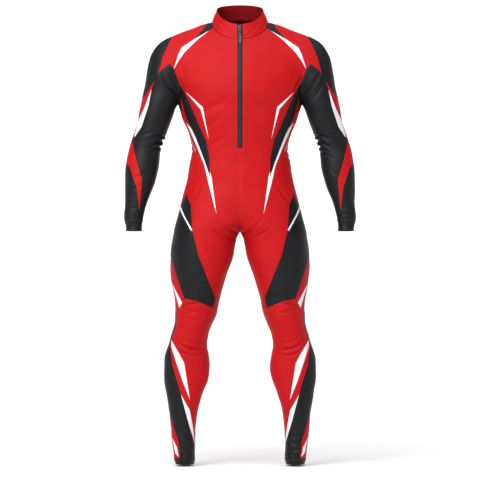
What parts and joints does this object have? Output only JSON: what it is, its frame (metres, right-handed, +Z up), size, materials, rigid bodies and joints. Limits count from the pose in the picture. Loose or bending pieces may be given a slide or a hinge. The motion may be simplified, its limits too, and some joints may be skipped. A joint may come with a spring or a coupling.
{
  "type": "ski race suit",
  "caption": "Close one-piece ski race suit with a stand collar, half-length front zip, long sleeves and ankle-length legs, in red, black and white panels.",
  "frame": {"origin": "middle of the neck, level with the shoulders that carry the suit", "axes": "+Z up along the worn suit, the front faces -Y, and +X is the wearer's left"},
  "size_m": [0.75, 0.2514, 1.4933],
  "materials": {
    "red_laminate": "smooth stretch laminate with a soft sheen, printed red with white flashes",
    "black_laminate": "smooth stretch laminate with a soft sheen, printed black with red and white flashes",
    "zip_tape": "woven black tape",
    "zip_coil": "moulded grey nylon coil",
    "gunmetal": "die-cast zinc, satin gunmetal"
  },
  "bodies": {
    "suit": {"front_left": "red_laminate", "front_right": "red_laminate", "back_left": "red_laminate", "back_right": "red_laminate", "leg_front_left": "red_laminate", "leg_front_right": "red_laminate", "leg_back_left": "red_laminate", "leg_back_right": "red_laminate", "shoulder_left": "red_laminate", "shoulder_right": "red_laminate", "thigh_side_left": "red_laminate", "thigh_side_right": "red_laminate", "knee_left": "red_laminate", "knee_right": "red_laminate", "shin_left": "red_laminate", "shin_right": "red_laminate", "ankle_left": "red_laminate", "ankle_right": "red_laminate", "neck_wedge_left": "black_laminate", "neck_wedge_right": "black_laminate", "underarm_left": "black_laminate", "underarm_right": "black_laminate", "sleeve_left": "black_laminate", "sleeve_right": "black_laminate", "forearm_left": "black_laminate", "forearm_right": "black_laminate", "cuff_left": "black_laminate", "cuff_right": "black_laminate", "hip_front_left": "black_laminate", "hip_front_right": "black_laminate", "hip_back_left": "black_laminate", "hip_back_right": "black_laminate", "thigh_left": "black_laminate", "thigh_right": "black_laminate", "calf_left": "black_laminate", "calf_right": "black_laminate", "hem_left": "black_laminate", "hem_right": "black_laminate", "collar": "red_laminate", "zip_tape_left": "zip_tape", "zip_tape_right": "zip_tape", "zip_chain": "zip_coil", "zip_stop": "gunmetal", "zip_slider": "gunmetal"},
    "pull": {"zip_pull": "gunmetal"}
  },
  "joints": [
    {"name": "pull_swing", "type": "hinge", "parent": "suit", "child": "pull", "pos_m": [0, -0.07371, -0.00372], "axis": [-1, 0, 0], "range_deg": [0, 160]}
  ]
}
